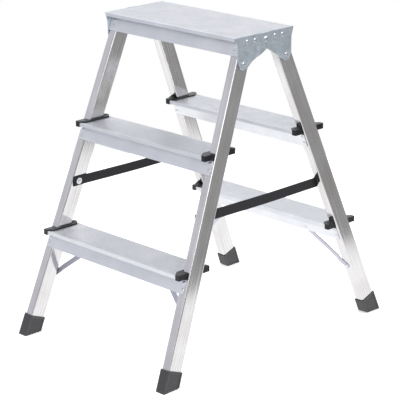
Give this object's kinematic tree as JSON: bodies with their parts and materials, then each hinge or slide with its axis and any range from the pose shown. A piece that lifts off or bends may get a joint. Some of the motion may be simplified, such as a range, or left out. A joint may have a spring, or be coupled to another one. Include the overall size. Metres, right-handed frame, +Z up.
{
  "type": "step ladder",
  "caption": "Double-sided folding aluminium step ladder: splayed tube stiles, grooved treads with a platform on top, a riveted hinge, webbing spreader straps and plastic feet.",
  "frame": {"origin": "on the floor, midway between the four feet, straight under the hinge pins", "axes": "+Z up; X along the treads, with +X to the right of a user who faces the front treads; +Y from the front half towards the rear half"},
  "size_m": [0.4822, 0.6816, 0.7],
  "materials": {
    "stile": "brushed extruded tube",
    "tread": "satin extrusion with anti-slip grooves",
    "zinc_steel": "galvanised sheet",
    "rivet": "zinc-plated, slightly worn",
    "cap": "black moulded",
    "foot": "dark grey moulded, non-slip",
    "webbing": "woven black webbing"
  },
  "bodies": {
    "front_half": {"front_left_stile": "stile", "front_left_foot": "foot", "front_left_hinge_plate": "zinc_steel", "front_left_brace": "zinc_steel", "front_right_stile": "stile", "front_right_foot": "foot", "front_right_hinge_plate": "zinc_steel", "front_right_brace": "zinc_steel", "front_platform_step": "tread", "front_middle_step": "tread", "front_lower_step": "tread", "front_middle_left_end_cap": "cap", "front_middle_right_end_cap": "cap", "front_lower_left_end_cap": "cap", "front_lower_right_end_cap": "cap", "front_step_rivets": "rivet", "front_hinge_rivets": "rivet", "front_brace_rivets": "rivet", "front_strap_washers": "rivet", "front_strap_rivets": "rivet", "left_strap": "webbing", "right_strap": "webbing", "left_pivot_rivet": "rivet", "right_pivot_rivet": "rivet", "pivot_washers": "rivet"},
    "rear_half": {"rear_left_stile": "stile", "rear_left_foot": "foot", "rear_left_hinge_plate": "zinc_steel", "rear_left_brace": "zinc_steel", "rear_right_stile": "stile", "rear_right_foot": "foot", "rear_right_hinge_plate": "zinc_steel", "rear_right_brace": "zinc_steel", "rear_platform_step": "tread", "rear_middle_step": "tread", "rear_lower_step": "tread", "rear_middle_left_end_cap": "cap", "rear_middle_right_end_cap": "cap", "rear_lower_left_end_cap": "cap", "rear_lower_right_end_cap": "cap", "rear_step_rivets": "rivet", "rear_hinge_rivets": "rivet", "rear_brace_rivets": "rivet", "rear_strap_washers": "rivet", "rear_strap_rivets": "rivet"}
  },
  "joints": [
    {"name": "fold", "type": "hinge", "parent": "front_half", "child": "rear_half", "pos_m": [0, 0, 0.6865], "axis": [1, 0, 0], "range_deg": [-42, 0], "deforming": ["left_strap", "right_strap"]}
  ]
}
